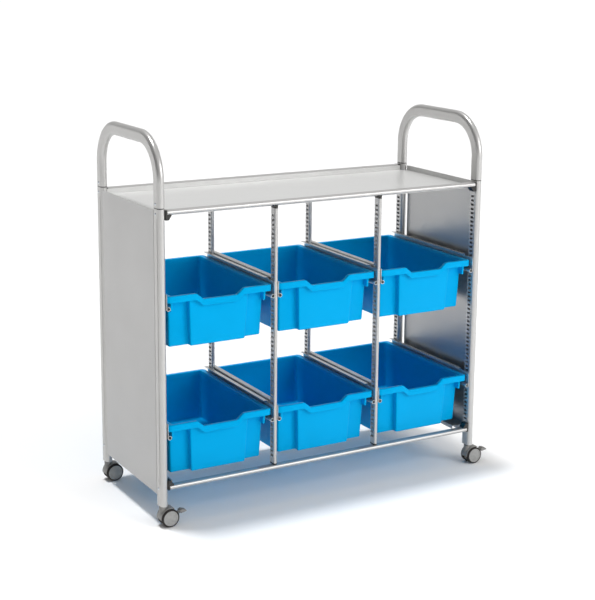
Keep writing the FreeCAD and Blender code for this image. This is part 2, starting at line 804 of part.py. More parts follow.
def make_hood(side, end):
    """Swivelling castor body: a fork with two cheeks for the brake lever, a hood and a stem boss."""
    x, y = wheel_centre(side, end)
    z = d.wheel_radius
    width = 2 * d.hood_half
    outer = d.wheel_radius + d.hood_gap + d.hood_wall
    shell = cut(make_cylinder(x, y - width / 2, z, outer, width, along="y"),
                make_cylinder(x, y - width / 2 - OVERRUN, z, d.wheel_radius + d.hood_gap,
                              width + 2 * OVERRUN, along="y"))
    lower_half = make_box(x - 2 * outer, y - width, z - 2 * outer,
                          4 * outer, 2 * width, 2 * outer - d.hood_skirt)
    far_side = make_box(x + outer / 2, y - width, z - outer, outer, 2 * width, 2 * outer)
    hood = cut(cut(shell, lower_half), far_side)
    fork = make_cylinder(x, y - d.fork_half, z, d.fork_radius, 2 * d.fork_half, along="y")
    gap = d.lever_half + d.lever_gap
    lever_room = make_box(x + d.lever_pivot - d.lever_eye - d.lever_gap, y - gap, 0,
                          outer, 2 * gap, 2 * outer)
    pivot = make_cylinder(x + d.lever_pivot, y - d.fork_half, z, d.trunnion_radius + d.running_gap,
                          2 * d.fork_half, along="y")
    fork = cut(cut(fork, lever_room), pivot)
    crown = make_box(x - d.castor_trail - d.crown_margin, y - d.fork_half, z + d.fork_radius / 2,
                     d.castor_trail + 2 * d.crown_margin, 2 * d.fork_half,
                     d.fork_radius / 2 + d.hood_gap + d.crown_rise)
    boss = make_cylinder(x - d.castor_trail, y, d.stem_foot - d.boss_floor, d.boss_radius,
                         d.boss_head - d.stem_foot + d.boss_floor)
    clear = make_cylinder(x, y - width, z, d.wheel_radius + d.hood_gap, 2 * width, along="y")
    whole = fuse(hood, fork, crown, cut(boss, clear))
    bore = make_cylinder(x - d.castor_trail, y, d.stem_foot - d.stem_gap, d.stem_radius + d.running_gap,
                         d.stem_head)
    eye = make_cylinder(x, y - width, z, d.axle_radius, 2 * width, along="y")
    return finish(cut(cut(whole, bore), eye), f"castor_hood_{castor_name(side, end)}")


def make_axle(side, end):
    x, y = wheel_centre(side, end)
    axle = make_cylinder(x, y - d.axle_half, d.wheel_radius, d.axle_radius, 2 * d.axle_half, along="y")
    return finish(axle, f"castor_axle_{castor_name(side, end)}")


def make_tyres(side, end):
    """Two tread rings with rounded shoulders."""
    body = new_body("Tyres")
    profile = new_sketch(body, "YZ_Plane")
    shoulder = d.tread_shoulder
    tread = d.wheel_radius
    for sign in (-1, 1):
        near, far = sign * d.wheel_inner, sign * (d.castor_half_width - d.tread_inset)
        add_polygon(profile, [(near, d.hub_radius), (near, tread - shoulder),
                              (near + sign * shoulder, tread), (far - sign * shoulder, tread),
                              (far, tread - shoulder), (far, d.hub_radius)])
    revolve_about_y(body, profile)
    x, y = wheel_centre(side, end)
    move(body, x, y, d.wheel_radius)
    return finish(body, f"castor_tyres_{castor_name(side, end)}")


def make_hubs(side, end):
    """Two wheel centres with a blind bore for the axle and a domed outer disc."""
    body = new_body("Hubs")
    profile = new_sketch(body, "YZ_Plane")
    bore = d.axle_radius + d.running_gap
    for sign in (-1, 1):
        near, far = sign * d.wheel_inner, sign * d.castor_half_width
        stop = sign * (d.axle_half + d.axle_gap)
        rim = far - sign * d.hub_recess
        add_polygon(profile, [(near, bore), (near, d.hub_radius), (rim, d.hub_radius),
                              (far, d.hub_radius - d.hub_round), (far, 0), (stop, 0), (stop, bore)])
    revolve_about_y(body, profile)
    x, y = wheel_centre(side, end)
    move(body, x, y, d.wheel_radius)
    return finish(body, f"castor_hubs_{castor_name(side, end)}")


def make_brake_lever(side):
    """Foot lever: trunnions in the fork's cheeks, an arm between the wheels and a broad pad beyond."""
    body = new_body("Lever")
    low = d.pad_low - d.wheel_radius
    high = d.pad_high - d.wheel_radius
    heel = d.pad_near + d.pad_heel
    arm = new_sketch(body, "XZ_Plane")
    add_polygon(arm, [(d.lever_pivot, -d.lever_eye), (heel, low), (heel + d.pad_thick, high - d.pad_thick),
                      (d.pad_near, high - d.pad_thick), (d.lever_pivot, d.lever_eye)])
    pad(body, arm, 2 * d.lever_half, symmetric=True)
    for radius, half in ((d.lever_eye, d.lever_half), (d.trunnion_radius, d.fork_half)):
        round_part = new_sketch(body, "XZ_Plane")
        add_circle(round_part, d.lever_pivot, 0, radius)
        pad(body, round_part, 2 * half, symmetric=True)
    tread = new_sketch(body, "XZ_Plane")
    add_polygon(tread, [(heel, low), (d.pad_far, low + d.pad_heel),
                        (d.pad_far - d.pad_heel, low + d.pad_heel + d.pad_thick),
                        (heel + d.pad_heel, high), (d.pad_near, high - d.pad_thick)])
    pad(body, tread, 2 * d.pad_half, symmetric=True)
    x, y = wheel_centre(side, FRONT)
    move(body, x, y, d.wheel_radius)
    return finish(body, f"brake_lever_{SIDE_NAMES[side]}")


def make_screw(side, end, height):
    """Dome-headed screw whose shank stops inside the tube's wall."""
    body = new_body("Screw")
    head = new_sketch(body, "YZ_Plane")
    add_circle(head, 0, 0, d.screw_head_radius)
    pad(body, head, d.screw_head_height, backwards=side == LEFT)
    shank = new_sketch(body, "YZ_Plane")
    add_circle(shank, 0, 0, d.screw_radius)
    pad(body, shank, d.tube_wall, backwards=side == RIGHT)
    return move(body, side * d.frame_width / 2, end * tube_y, height)


# ---------------------------------------------------------------- assembly

def build():
    for side, end in CORNERS:
        make_end_upright(side, end)
        make_middle_upright(side, end)
    for side in (LEFT, RIGHT):
        make_side_panel(side)
        make_handle(side)
    group("handle_joiners", [make_handle_joiner(side, end) for side, end in CORNERS])
    make_top_shelf()
    for end in (FRONT, REAR):
        make_rail(f"bottom_rail_{END_NAMES[end]}", end, d.low_rail)
        make_rail(f"top_rail_{END_NAMES[end]}", end, d.top_rail)
    group("bottom_connectors", [make_connector(side, end, d.low_rail, 1) for side, end in CORNERS])
    group("top_connectors", [make_connector(side, end, d.top_rail, -1) for side, end in CORNERS])
    low_cap = d.low_rail + d.rail_height
    top_block = d.middle_head + d.cap_height
    caps = [make_cap(side, end, low_cap, d.cap_height) for side, end in CORNERS]
    for side, end in CORNERS:
        cap = make_cap(side, end, d.middle_head, d.cap_height)
        caps.append(fuse(cap, make_cap_block(side, end, top_block, d.top_rail - top_block)))
    group("middle_upright_caps", caps)

    for row in (0, 1):
        for column in (-1, 0, 1):
            make_tray(column, row)
            for side in (LEFT, RIGHT):
                make_runner(column, row, side)

    group("castor_sockets", [make_socket(side, end) for side, end in CORNERS])
    group("castor_stems", [make_stem(side, end) for side, end in CORNERS])
    for side, end in CORNERS:
        make_hood(side, end)
        make_axle(side, end)
        make_tyres(side, end)
        make_hubs(side, end)
    for side in (LEFT, RIGHT):
        make_brake_lever(side)
    heights = (d.low_screw, d.high_screw, d.handle_screw)
    group("frame_screws", [make_screw(side, end, height) for side, end in CORNERS for height in heights])
    doc.recompute()


def check_and_export():
    """Stop on any failed object, then write each sub-part to its own file."""
    failed = [item for item in doc.Objects if "Invalid" in item.State or "Error" in item.State]
    if failed:
        raise RuntimeError("failed: " + ", ".join(f"{item.Label} of {[o.Label for o in item.InList]}"
                                                  for item in failed))
    os.makedirs("parts", exist_ok=True)
    for node in nodes:
        shape = node.Shape
        if shape.isNull() or not shape.isValid() or not shape.Solids:
            raise RuntimeError(f"{node.Label} has no valid shape")
        shape.exportStep(f"parts/{node.Label}.step")
        print(f"{node.Label:40s} solids {len(shape.Solids):2d}  volume {shape.Volume / 1000:9.1f} cm3")
    print(f"{len(nodes)} sub-parts")


build()
check_and_export()
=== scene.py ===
"""Looks of a mobile tray cart: satin tubes, shelf pan, six blue trays on steel runners, twin castors."""

import json
import math

import bmesh
import bpy
from mathutils import Matrix, Vector


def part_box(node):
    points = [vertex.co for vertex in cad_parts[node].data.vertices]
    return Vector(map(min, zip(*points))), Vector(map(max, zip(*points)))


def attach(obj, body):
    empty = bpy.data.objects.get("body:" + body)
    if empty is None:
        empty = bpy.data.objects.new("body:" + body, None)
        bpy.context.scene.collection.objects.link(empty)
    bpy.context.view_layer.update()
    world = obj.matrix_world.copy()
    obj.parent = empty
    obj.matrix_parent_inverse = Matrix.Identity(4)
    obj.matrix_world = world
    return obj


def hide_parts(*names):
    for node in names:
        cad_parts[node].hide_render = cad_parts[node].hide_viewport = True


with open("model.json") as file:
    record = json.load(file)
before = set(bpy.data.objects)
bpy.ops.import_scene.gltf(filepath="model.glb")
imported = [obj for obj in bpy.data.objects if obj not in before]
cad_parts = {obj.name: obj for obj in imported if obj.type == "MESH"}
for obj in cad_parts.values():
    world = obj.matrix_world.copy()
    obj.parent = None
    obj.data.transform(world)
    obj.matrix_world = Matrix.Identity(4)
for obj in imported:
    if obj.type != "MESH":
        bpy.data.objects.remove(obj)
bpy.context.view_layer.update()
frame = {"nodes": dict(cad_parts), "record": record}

MM = 0.001
LEFT, RIGHT = -1, 1
FRONT, REAR = -1, 1
SIDES = {LEFT: "left", RIGHT: "right"}
ENDS = {FRONT: "front", REAR: "rear"}
COLUMNS = ("left", "middle", "right")
ROWS = ("lower", "upper")
CORNERS = [(side, end) for side in SIDES for end in ENDS]
ARC_STEPS = 5

# Trays, in millimetres from the middle of the rim's front edge
WALL = 2.2
RIM_BAND = 17.5
RIM_SKIRT = 25.2
RIM_CORNER = 12
RIM_TOP = 3
RIM_EDGE = 1.2
RIM_FOOT_EDGE = 0.6
BODY_CORNER = 5
BACK_CORNER = 11
STEP_CORNER = 3
STEP_HOLLOW = 2
LEAST_CORNER = 0.8
FLOOR_ROUND = 4
AT_RIM = {"half": 141.5, "step": 88, "face": 9.5, "strip": 27.5, "back": 417.5}
AT_FLOOR = {"half": 136, "step": 81, "face": 17.5, "strip": 34.5, "back": 408.5}
DIP_TOP_HALF = 70
DIP_FLOOR_HALF = 50
DIP_FLOOR_ROUND = 6
DIP_TOP_ROUND = 5
DIP_DEPTH = 16.5
WING_WIDTH = 6
WING_DROP = 43
LEDGE = 15

# Runners, in millimetres from the seat line on the uprights
SHEET = 1.3
SEAT_GAP = 4
ROLL_WIDTH = 11.6
ROLL_HEIGHT = 11
ROLL_DROP = 31
LIP_RISE = 14
LIP_REACH = 13.3
LIP_FRONT = 40
LIP_BEND = 2

# Castors, in millimetres from the wheel centre
WHEEL_RADIUS = 25
WHEEL_INNER = 7
TREAD_HALF = 18.5
TREAD_ROUND = 2.4
HUB_RADIUS = 20.8
CASTOR_HALF = 19
TRAIL = 16.5
HOOD_OUTER = 28
HOOD_INNER = 26
HOOD_MIDDLE = (HOOD_OUTER + HOOD_INNER) / 2
HOOD_HALF = 15
FORK_HALF = 5.5
FORK_RADIUS = 22
FORK_SLOT = 4.3
AXLE_RADIUS = 3
BORE_GAP = 0.1
BOSS_RADIUS = 9.5
BOSS_TOP = 32.5
STEM_RADIUS = 5
LEVER_HALF = 4
LEVER_PIVOT = 17
LEVER_EYE = 4.5
PAD_NEAR = 30.5
PAD_FAR = 52
PAD_LOW = 5
PAD_HIGH = 16
PAD_HALF = 8
PAD_THICK = 4
PAD_SLANT = 3

# Screws on the outer faces of the end tubes, in millimetres
SCREW_RADIUS = 3.4
SCREW_DOME = 1.8
SCREW_LEVELS = (109, 850, 876)


# ---------------------------------------------------------------- materials

class Finish:
    """A Principled material in the making, with the node patterns that several finishes share."""

    def __init__(self, name, colour, roughness, metallic=0.0, **sockets):
        self.material = bpy.data.materials.new(name)
        self.material.use_nodes = True
        self.nodes = self.material.node_tree.nodes
        self.links = self.material.node_tree.links
        self.shader = self.nodes["Principled BSDF"]
        self.colour = (*colour, 1.0)
        self.shader.inputs["Base Color"].default_value = self.colour
        self.shader.inputs["Roughness"].default_value = roughness
        self.shader.inputs["Metallic"].default_value = metallic
        for socket, value in sockets.items():
            self.shader.inputs[socket.replace("_", " ")].default_value = value
        self.place = self.nodes.new("ShaderNodeTexCoord").outputs["Object"]
        self.bumps = None

    def noise(self, scale, detail=2.0, stretch=(1, 1, 1)):
        """Cloudy pattern; scale is in features per metre and stretch squeezes it along an axis."""
        mapping = self.nodes.new("ShaderNodeMapping")
        mapping.inputs["Scale"].default_value = stretch
        texture = self.nodes.new("ShaderNodeTexNoise")
        texture.inputs["Scale"].default_value = scale
        texture.inputs["Detail"].default_value = detail
        self.links.new(self.place, mapping.inputs["Vector"])
        self.links.new(mapping.outputs["Vector"], texture.inputs["Vector"])
        return texture.outputs["Fac"]

    def spread(self, pattern, low, high):
        """The pattern rescaled to run from low to high; noise mostly lies between 0.3 and 0.7."""
        node = self.nodes.new("ShaderNodeMapRange")
        self.links.new(pattern, node.inputs["Value"])
        for socket, value in (("From Min", 0.3), ("From Max", 0.7), ("To Min", low), ("To Max", high)):
            node.inputs[socket].default_value = value
        return node.outputs["Result"]

    def vary_roughness(self, pattern, low, high):
        self.links.new(self.spread(pattern, low, high), self.shader.inputs["Roughness"])

    def vary_colour(self, pattern, darker, lighter):
        """Colour that drifts between two multiples of the base colour."""
        mix = self.nodes.new("ShaderNodeMix")
        mix.data_type = "RGBA"
        share, first, second, result = mix.inputs[0], mix.inputs[6], mix.inputs[7], mix.outputs[2]
        for socket, factor in ((first, darker), (second, lighter)):
            socket.default_value = (*(min(1, c * factor) for c in self.colour[:3]), 1.0)
        self.links.new(self.spread(pattern, 0, 1), share)
        self.links.new(result, self.shader.inputs["Base Color"])

    def bump(self, pattern, height):
        """Relief of the given height in millimetres; each call adds to the last."""
        node = self.nodes.new("ShaderNodeBump")
        node.inputs["Strength"].default_value = 1.0
        node.inputs["Distance"].default_value = height * MM
        self.links.new(pattern, node.inputs["Height"])
        if self.bumps:
            self.links.new(self.bumps, node.inputs["Normal"])
        self.bumps = node.outputs["Normal"]
        self.links.new(self.bumps, self.shader.inputs["Normal"])


def powder_coat(name, colour, roughness, metallic, coat=0.0):
    """Silver powder coat: faint orange peel, fine metal flake and slow drift in gloss."""
    finish = Finish(name, colour, roughness, metallic, Coat_Weight=coat, Coat_Roughness=0.3)
    finish.vary_colour(finish.noise(2600, 1.0), 0.95, 1.04)
    finish.vary_roughness(finish.noise(9, 3.0), roughness - 0.04, roughness + 0.04)
    finish.bump(finish.noise(450, 1.0), 0.002)
    return finish.material


def tray_polypropylene():
    """Blue moulded polypropylene: spark-eroded grain, faint flow marks and light scuffs."""
    finish = Finish("tray_polypropylene", (0.0, 0.37, 0.74), 0.42, IOR=1.49, Specular_IOR_Level=0.25,
                    Specular_Tint=(0.0, 0.6, 1.0, 1.0))
    finish.vary_colour(finish.noise(7, 2.0), 0.97, 1.02)
    finish.vary_roughness(finish.noise(35, 4.0, (1, 1, 3)), 0.36, 0.48)
    finish.bump(finish.noise(1500, 2.0), 0.03)
    finish.bump(finish.noise(14, 2.0, (1, 1, 0.3)), 0.12)
    return finish.material


def zinc_sheet():
    """Bright zinc-plated sheet with drawing lines along its length."""
    finish = Finish("zinc_sheet", (0.72, 0.72, 0.71), 0.3, 0.85)
    finish.vary_colour(finish.noise(40, 3.0), 0.9, 1.03)
    finish.vary_roughness(finish.noise(900, 2.0, (1, 0.01, 1)), 0.24, 0.4)
    finish.bump(finish.noise(1200, 1.0, (1, 0.01, 1)), 0.02)
    return finish.material


def moulded_nylon(name, colour, roughness):
    """Moulded nylon with a fine grain and uneven gloss."""
    finish = Finish(name, colour, roughness, IOR=1.53)
    finish.vary_colour(finish.noise(120, 3.0), 0.9, 1.08)
    finish.vary_roughness(finish.noise(160, 3.0), roughness - 0.06, roughness + 0.08)
    finish.bump(finish.noise(1800, 2.0), 0.03)
    return finish.material


def tread_rubber():
    """Dark soft tread, dulled by floor dust."""
    finish = Finish("tread_rubber", (0.022, 0.019, 0.018), 0.6, Specular_IOR_Level=0.25)
    finish.vary_colour(finish.noise(220, 4.0), 0.75, 1.5)
    finish.vary_roughness(finish.noise(300, 3.0), 0.5, 0.75)
    finish.bump(finish.noise(2500, 2.0), 0.04)
    return finish.material


def turned_metal(name, colour, roughness):
    """Bright turned or plated metal with fine handling marks."""
    finish = Finish(name, colour, roughness, 1.0)
    finish.vary_colour(finish.noise(400, 2.0), 0.92, 1.04)
    finish.vary_roughness(finish.noise(900, 3.0), roughness - 0.06, roughness + 0.1)
    finish.bump(finish.noise(3000, 1.0), 0.01)
    return finish.material


def studio_floor():
    """Plain pale floor with a trace of unevenness."""
    finish = Finish("studio_floor", (0.93, 0.93, 0.93), 0.9, Specular_IOR_Level=0.0)
    finish.vary_colour(finish.noise(3, 2.0), 0.995, 1.0)
    finish.bump(finish.noise(40, 2.0), 0.02)
    return finish.material


MATERIALS = {
    "frame_paint": powder_coat("silver_tube_coat", (0.52, 0.515, 0.505), 0.32, 0.65),
    "panel_paint": powder_coat("silver_panel_coat", (0.45, 0.447, 0.442), 0.32, 0.75),
    "shelf_paint": powder_coat("silver_shelf_coat", (0.62, 0.62, 0.61), 0.34, 0.2, coat=0.3),
    "tray_plastic": tray_polypropylene(),
    "runner_steel": zinc_sheet(),
    "connector_plastic": moulded_nylon("black_nylon", (0.008, 0.007, 0.006), 0.3),
    "castor_plastic": moulded_nylon("grey_nylon", (0.24, 0.235, 0.225), 0.42),
    "hub_plastic": moulded_nylon("light_grey_nylon", (0.33, 0.33, 0.322), 0.45),
    "tyre_rubber": tread_rubber(),
    "axle_steel": turned_metal("bright_steel", (0.6, 0.6, 0.6), 0.3),
    "screw_zinc": turned_metal("bright_zinc", (0.66, 0.72, 0.78), 0.22),
}


# ---------------------------------------------------------------- mesh helpers

def box_mm(node):
    """A CAD node's lowest and highest corners in millimetres."""
    low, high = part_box(node)
    return low / MM, high / MM


def arc(centre, radius, start, stop, steps):
    """Points of an arc in a plane, angles in degrees."""
    angles = [math.radians(start + (stop - start) * i / steps) for i in range(steps + 1)]
    return [(centre[0] + radius * math.cos(a), centre[1] + radius * math.sin(a)) for a in angles]


def circle(radius, steps):
    """Points of a circle about the origin."""
    return arc((0, 0), radius, 0, 360 - 360 / steps, steps - 1)


def rounded(corners, radii, steps=ARC_STEPS):
    """A polyline with each inner corner replaced by an arc of the given radius."""
    points = [corners[0]]
    for before, corner, after, radius in zip(corners, corners[1:], corners[2:], radii):
        here = Vector(corner)
        back = (Vector(before) - here).normalized()
        on = (Vector(after) - here).normalized()
        half = back.angle(on) / 2
        centre = here + (back + on).normalized() * radius / math.sin(half)
        first = here + back * radius / math.tan(half) - centre
        last = here + on * radius / math.tan(half) - centre
        for i in range(steps + 1):
            swing = first.lerp(last, i / steps).normalized() * radius
            points.append(tuple(centre + swing))
    points.append(corners[-1])
    return points


def skin(bm, rings):
    """Quads between neighbouring closed rings; returns the rings' vertices."""
    rows = [[bm.verts.new(p) for p in ring] for ring in rings]
    count = len(rows[0])
    for low, high in zip(rows, rows[1:]):
        for i in range(count):
            j = (i + 1) % count
            bm.faces.new((low[i], low[j], high[j], high[i]))
    return rows


def solid_loft(bm, rings):
    """Closed solid through the rings, with a flat face at each end."""
    rows = skin(bm, rings)
    bm.faces.new(list(reversed(rows[0])))
    bm.faces.new(rows[-1])


def prism(bm, outline, place, start, stop):
    """Closed solid that carries a flat outline from start to stop; place maps (a, b, along) to x, y, z."""
    solid_loft(bm, [[place(a, b, along) for a, b in outline] for along in (start, stop)])


def lathe(bm, profile, centre, axis="Y", steps=96):
    """Closed profile of (radius, along) turned about an axis through the centre."""
    turn_to = {"X": lambda a, b, along: Vector((along, a, b)),
               "Y": lambda a, b, along: Vector((a, along, b)),
               "Z": lambda a, b, along: Vector((a, b, along))}[axis]
    rings = []
    for i in range(steps):
        turn = 2 * math.pi * i / steps
        across, up = math.cos(turn), math.sin(turn)
        rings.append([centre + turn_to(r * across, r * up, along) for r, along in profile])
    skin(bm, rings + [rings[0]])


def round_edges(piece, radius, segments, limit):
    """Rounds edges sharper than the limit by a radius in millimetres."""
    modifier = piece.modifiers.new("EdgeRound", "BEVEL")
    modifier.width = radius * MM
    modifier.segments = segments
    modifier.limit_method = "ANGLE"
    modifier.angle_limit = limit
    modifier.harden_normals = True


def add_piece(name, bm, body, slot, replaced=(), bevel=0.0, sharp=35):
    """Turns a bmesh in millimetres into a piece that rides on a body and stands for CAD nodes."""
    bmesh.ops.remove_doubles(bm, verts=bm.verts, dist=0.0005)
    bmesh.ops.recalc_face_normals(bm, faces=bm.faces)
    bmesh.ops.scale(bm, vec=(MM, MM, MM), verts=bm.verts)
    limit = math.radians(sharp)
    for face in bm.faces:
        face.smooth = True
    for edge in bm.edges:
        edge.smooth = edge.calc_face_angle(0) < limit
    mesh = bpy.data.meshes.new(name)
    bm.to_mesh(mesh)
    bm.free()
    piece = bpy.data.objects.new(name, mesh)
    bpy.context.scene.collection.objects.link(piece)
    piece.data.materials.append(MATERIALS[slot])
    if bevel:
        round_edges(piece, bevel, segments=3, limit=limit)
    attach(piece, body)
    if replaced:
        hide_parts(*replaced)
    return piece


# ---------------------------------------------------------------- trays

def dip_line():
    """Right half of the rim's top edge seen from the front: (x, drop) points out to past the dip."""
    margin = 4
    corners = [(0, DIP_DEPTH), (DIP_FLOOR_HALF, DIP_DEPTH), (DIP_TOP_HALF, 0), (DIP_TOP_HALF + margin, 0)]
    return rounded(corners, (DIP_FLOOR_ROUND, DIP_TOP_ROUND), 4)


def dip_stations():
    """The x of each point on the dip line; every ring of the skin has a point in front at each."""
    return [point[0] for point in dip_line()]


def body_half(sizes, inset):
    """Right half of the tray body's plan, from the front middle to the back middle."""
    side, step = sizes["half"] - inset, sizes["step"] - inset
    face, strip, back = sizes["face"] + inset, sizes["strip"] + inset, sizes["back"] - inset
    corner = max(BODY_CORNER - inset, LEAST_CORNER)
    radii = (min(corner, STEP_CORNER), STEP_HOLLOW + inset, corner, BACK_CORNER - inset)
    corners = [(0, face), (step, face), (step, strip), (side, strip), (side, back), (0, back)]
    return [(x, face) for x in dip_stations()] + rounded(corners, radii)[1:]


def throat_half(inset):
    """The plan just under the rim, where the front runs straight across above the ledges."""
    plan = body_half(AT_RIM, inset)
    step_points = len(dip_stations()) + 2 * (ARC_STEPS + 1)
    corner_points = step_points + ARC_STEPS + 1
    front = AT_RIM["face"] + inset
    shift = AT_RIM["strip"] - AT_RIM["face"]
    straight = [(point[0], front) for point in plan[:step_points]]
    corner = [(x, y - shift) for x, y in plan[step_points:corner_points]]
    return straight + corner + plan[corner_points:]


def rim_half(inset, half, length):
    """Right half of the rim's plan, with as many points as the body's."""
    corners = [(0, inset), (half - inset, inset), (half - inset, length - inset), (0, length - inset)]
    turns = rounded(corners, (RIM_CORNER - inset, RIM_CORNER - inset))
    stations = dip_stations()
    spread_over = 30
    count = len(body_half(AT_RIM, 0)) - len(stations) - (len(turns) - 1)
    spread = [(stations[-1] + spread_over * (i + 1) / (count + 1), inset) for i in range(count)]
    return [(x, inset) for x in stations] + spread + turns[1:]


def between(low, high, share):
    """Sizes part of the way from one set to another."""
    return {key: low[key] + (high[key] - low[key]) * share for key in low}


def tray_rings(half, length, height):
    """Rings of the tray's skin, from the inside floor up, over the rim and down to the underside."""
    drops = [point[1] for point in dip_line()]
    corner_end = RIM_CORNER + 1

    def ring(plan, z, follows_dip=False, skirt=0.0, below_dip=0.0):
        levels = [z] * len(plan)
        for i, drop in enumerate(drops):
            if follows_dip:
                levels[i] -= drop
            if below_dip:
                levels[i] = min(z, -drop - below_dip)
        for i, point in enumerate(plan):
            if corner_end < point[1] < length - corner_end:
                levels[i] -= skirt
        right = [(x, y, level) for (x, y), level in zip(plan, levels)]
        left = [(-x, y, level) for x, y, level in reversed(right[1:-1])]
        return right + left

    def body_ring(z, inset, below_dip=0.0):
        return ring(body_half(between(AT_RIM, AT_FLOOR, -z / height), inset), z, below_dip=below_dip)

    def foot_rings(level, inset, radius):
        """Rounded corner between a floor and the walls, from the floor outwards."""
        turns = [math.radians(a) for a in (0, 30, 60, 90)]
        return [body_ring(level + radius * (1 - math.cos(a)), inset + radius * (1 - math.sin(a)))
                for a in turns]

    bow = 0.35 * RIM_EDGE
    under_dip = 5
    under_band = 6
    shoulder = -DIP_DEPTH - RIM_BAND - under_band
    rings = foot_rings(-height + WALL, WALL, FLOOR_ROUND)
    rings.append(body_ring(shoulder, WALL))
    rings.append(body_ring(-LEDGE, WALL, under_dip))
    rings.append(ring(throat_half(WALL), -LEDGE, below_dip=under_dip))
    rings.append(ring(throat_half(WALL), -RIM_EDGE, True))
    rings.append(ring(throat_half(WALL - bow), -bow, True))
    rings.append(ring(throat_half(WALL - RIM_EDGE), 0, True))
    for inset, z in ((RIM_EDGE, 0), (bow, -bow), (0, -RIM_EDGE)):
        rings.append(ring(rim_half(inset, half, length), z, True))
    skirt = RIM_SKIRT - RIM_BAND
    for inset, z in ((0, RIM_FOOT_EDGE - RIM_BAND), (RIM_FOOT_EDGE, -RIM_BAND), (WALL, -RIM_BAND)):
        rings.append(ring(rim_half(inset, half, length), z, True, skirt))
    rings.append(ring(rim_half(WALL, half, length), -RIM_TOP, True))
    rings.append(ring(throat_half(0), -RIM_TOP, True))
    rings.append(ring(throat_half(0), -LEDGE - WALL, below_dip=under_dip))
    rings.append(body_ring(-LEDGE - WALL, 0, under_dip))
    rings.append(body_ring(shoulder, 0))
    return rings + list(reversed(foot_rings(-height, 0, FLOOR_ROUND)))


def make_wings(node, centre, height):
    """Gusset under each end of the front rim, tapering with the body."""
    under_rim, off_skin = 0.5, 0.1
    bm = bmesh.new()
    for side in SIDES:
        rings = []
        for level in (-WING_DROP, -RIM_TOP - under_rim):
            sizes = between(AT_RIM, AT_FLOOR, -level / height)
            near, far = side * (sizes["half"] - WING_WIDTH), side * (sizes["half"] - off_skin)
            front, back = sizes["face"], sizes["strip"] + BODY_CORNER
            corners = ((near, front), (far, front), (far, back), (near, back))
            rings.append([centre + Vector((x, y, level)) for x, y in corners])
        solid_loft(bm, rings)
    add_piece(f"{node}_wings", bm, node, "tray_plastic", bevel=0.7)


def make_tray(row, column):
    """Deep tray with a dipped rim, a proud front panel and a wing under each end of the rim."""
    node = f"tray_{row}_{column}"
    low, high = box_mm(node)
    centre = Vector(((low.x + high.x) / 2, low.y, high.z))
    half, length, height = (high.x - low.x) / 2, high.y - low.y, high.z - low.z
    bm = bmesh.new()
    solid_loft(bm, [[centre + Vector(p) for p in ring] for ring in tray_rings(half, length, height)])
    add_piece(f"{node}_shell", bm, node, "tray_plastic", [node], sharp=40)
    make_wings(node, centre, height)


# ---------------------------------------------------------------- runners

def sheet_profile(path, thickness):
    """Closed outline of a sheet bent along a path of (a, b) points."""
    points = [Vector(p) for p in path]
    sides = []
    for i, point in enumerate(points):
        ahead = points[min(i + 1, len(points) - 1)] - points[max(i - 1, 0)]
        normal = Vector((-ahead.y, ahead.x)).normalized() * thickness / 2
        sides.append((point + normal, point - normal))
    return [a for a, b in sides] + [b for a, b in reversed(sides)]


def make_runner(row, column, side):
    """Roll-formed runner: open hollow roll below, web, and a bent lip that stops short of the front."""
    node = f"runner_{row}_{column}_{side}"
    low, high = box_mm(node)
    tray_low, tray_high = box_mm(f"tray_{row}_{column}")
    inward = 1 if side == "left" else -1
    tray_side = tray_low.x if side == "left" else tray_high.x
    seat = tray_side - inward * SEAT_GAP
    rim = tray_high.z
    half = SHEET / 2

    def place(a, b, along):
        return Vector((seat + inward * a, along, rim + b))

    across, tall = ROLL_WIDTH / 2 - half, ROLL_HEIGHT / 2 - half
    below_lip, above_roll, off_web = 6, 5, 0.3
    curl_start, curl_end, step = 150, 482, 12
    roll = [(half, LIP_RISE - below_lip), (half, above_roll - ROLL_DROP)]
    for turn in range(curl_start, curl_end, step):
        swing = math.radians(turn)
        a, b = ROLL_WIDTH / 2 + across * math.cos(swing), tall * math.sin(swing) - ROLL_DROP
        if a > half + off_web or b < -ROLL_DROP:
            roll.append((a, b))
    bm = bmesh.new()
    prism(bm, sheet_profile(roll, SHEET), place, low.y, high.y)
    top = LIP_RISE - half
    bend = arc((half + LIP_BEND, top - LIP_BEND), LIP_BEND, 180, 90, 4)
    lip = [(half, LIP_RISE - below_lip - 1)] + bend + [(LIP_REACH - LIP_BEND, top), (LIP_REACH - half, top)]
    prism(bm, sheet_profile(lip, SHEET), place, low.y + LIP_FRONT, high.y)
    add_piece(f"{node}_form", bm, "frame", "runner_steel", [node], bevel=0.35)


# ---------------------------------------------------------------- castors

def wheel_centre(side, end):
    """Middle of a castor's axle, from its CAD tyres."""
    low, high = box_mm(f"castor_tyres_{ENDS[end]}_{SIDES[side]}")
    return (low + high) / 2


def mirrored(profile):
    """A (radius, along) profile for each of the twin wheels."""
    return [profile, [(radius, -along) for radius, along in profile]]


def beside_axle(centre):
    """Maps (a, b, along) to a point: a to the right of the axle, b above it, and along it."""
    return lambda a, b, along: centre + Vector((a, along, b))


def add_barrel(bm, centre):
    """The hood's curved shell over the wheels, with rolled edges."""
    roll, inner_edge = 1.8, 0.6
    rear_end, front_end, step = 184, 61, 3
    rim = arc((HOOD_HALF - roll, HOOD_OUTER - roll), roll, 0, 90, 4)
    section = rim + [(-y, r) for y, r in reversed(rim)]
    section += [(inner_edge - HOOD_HALF, HOOD_INNER), (HOOD_HALF - inner_edge, HOOD_INNER)]
    rings = []
    for degrees in range(rear_end, front_end, -step):
        a = math.radians(degrees)
        rings.append([centre + Vector((r * math.cos(a), y, r * math.sin(a))) for y, r in section])
    solid_loft(bm, rings)


